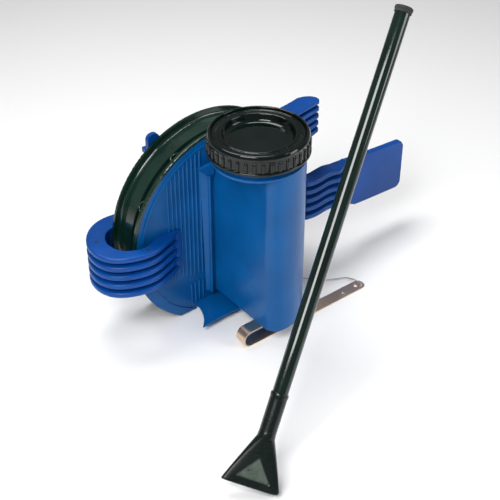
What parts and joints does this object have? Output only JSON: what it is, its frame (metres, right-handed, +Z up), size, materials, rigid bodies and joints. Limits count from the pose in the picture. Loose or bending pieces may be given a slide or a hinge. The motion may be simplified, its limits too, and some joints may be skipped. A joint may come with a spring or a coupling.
{
  "type": "pool cleaner",
  "caption": "Portable pool cleaner: lidded debris canister in front of a pump drum with a finned strap harness, and a separate suction wand with a flat triangular nozzle.",
  "frame": {"origin": "centre of the canister's base face, 40 mm above the floor the cleaner stands on", "axes": "+Z up along the canister, +Y from the canister towards the pump drum behind it, +X along the drum's width towards the long paddle strap"},
  "size_m": [0.9023, 0.6909, 0.7578],
  "materials": {
    "blue_moulding": "gloss moulded, deep blue",
    "strap_plastic": "semi-gloss flexible moulding, deep blue",
    "rim_black": "gloss moulded, green-black",
    "lid_black": "gloss moulded, green-black",
    "wand_black": "gloss extruded tube, green-black",
    "nozzle_black": "satin blow-moulded",
    "soft_rubber": "matte rubber",
    "grey_plastic": "moulded grey",
    "ivory_plastic": "moulded, glass filled",
    "bright_strip": "polished spring steel",
    "steel": "plain steel",
    "zinc_can": "drawn and plated",
    "bracket_metal": "die cast",
    "copper_winding": "laquered winding over laminations",
    "magnet": "sintered, matte",
    "battery_skin": "shrink sleeve"
  },
  "bodies": {
    "housing": {"canister": "blue_moulding", "canister_base": "blue_moulding", "canister_neck": "blue_moulding", "inlet_port": "lid_black", "inlet_screws": "steel", "canister_screws": "steel", "rim_channel": "rim_black", "rim_screws": "steel", "rear_screws": "steel", "front_cover": "blue_moulding", "spine_bracket": "blue_moulding", "rear_cover": "blue_moulding", "front_seal": "soft_rubber", "rear_seal": "soft_rubber", "foot_pads": "soft_rubber", "suction_pipe": "grey_plastic", "pump_casing": "grey_plastic", "casing_cover": "grey_plastic", "motor_magnet": "magnet", "motor_can": "zinc_can", "front_bearing": "steel", "rear_bearing": "steel", "shaft_seal": "soft_rubber", "motor_bracket": "bracket_metal", "battery_pack": "battery_skin", "battery_tray": "grey_plastic", "left_strap": "strap_plastic", "right_strap_root": "strap_plastic", "flex_pin": "steel", "upper_right_strap": "strap_plastic", "upper_left_strap": "strap_plastic", "strap_screws": "steel", "steel_strip": "bright_strip", "strip_rivets": "steel", "stay_wire": "steel", "wire_clip": "lid_black"},
    "lid_disc": {"lid_disc": "lid_black", "lid_gasket": "soft_rubber"},
    "lid_ring": {"lid_ring": "lid_black"},
    "basket": {"strainer_basket": "grey_plastic"},
    "bail": {"basket_bail": "steel"},
    "rotor": {"impeller": "ivory_plastic", "impeller_nut": "steel", "motor_shaft": "steel", "motor_rotor": "copper_winding"},
    "paddle": {"right_strap_paddle": "strap_plastic"},
    "wand": {"wand_tube": "wand_black", "wand_cuff": "soft_rubber"},
    "nozzle": {"wand_nozzle": "nozzle_black"}
  },
  "joints": [
    {"name": "lid_lift", "type": "slide", "parent": "housing", "child": "lid_disc", "axis": [0, 0, 1], "range_m": [0, 0.42]},
    {"name": "ring_turn", "type": "hinge", "parent": "lid_disc", "child": "lid_ring", "pos_m": [0, 0, 0.43], "axis": [0, 0, 1], "range_deg": [0, 90]},
    {"name": "basket_lift", "type": "slide", "parent": "housing", "child": "basket", "axis": [0, 0, 1], "range_m": [0, 0.3]},
    {"name": "bail_fold", "type": "hinge", "parent": "basket", "child": "bail", "pos_m": [0, 0, 0.4043], "axis": [0, 1, 0], "range_deg": [0, 90]},
    {"name": "rotor_spin", "type": "hinge", "parent": "housing", "child": "rotor", "pos_m": [0, 0.18, 0.168], "axis": [0, 1, 0], "continuous": true},
    {"name": "strap_flex", "type": "hinge", "parent": "housing", "child": "paddle", "pos_m": [0.292, 0.1137, 0.151], "axis": [0, 0, 1], "range_deg": [-30, 75], "stiffness_Nm_per_rad": 1},
    {"name": "wand_lift", "type": "slide", "parent": "housing", "child": "wand", "axis": [0.5895, 0.2563, 0.766], "range_m": [0, 0.3]},
    {"name": "nozzle_turn", "type": "hinge", "parent": "wand", "child": "nozzle", "pos_m": [-0.329, -0.393, -0.02], "axis": [0.5895, 0.2563, 0.766], "range_deg": [-90, 90]}
  ],
  "couplings": [
    {"joint": "basket_lift", "follows": "lid_lift", "ratio": 0.7},
    {"joint": "bail_fold", "follows": "lid_lift", "rad_per_m": 3.7}
  ]
}
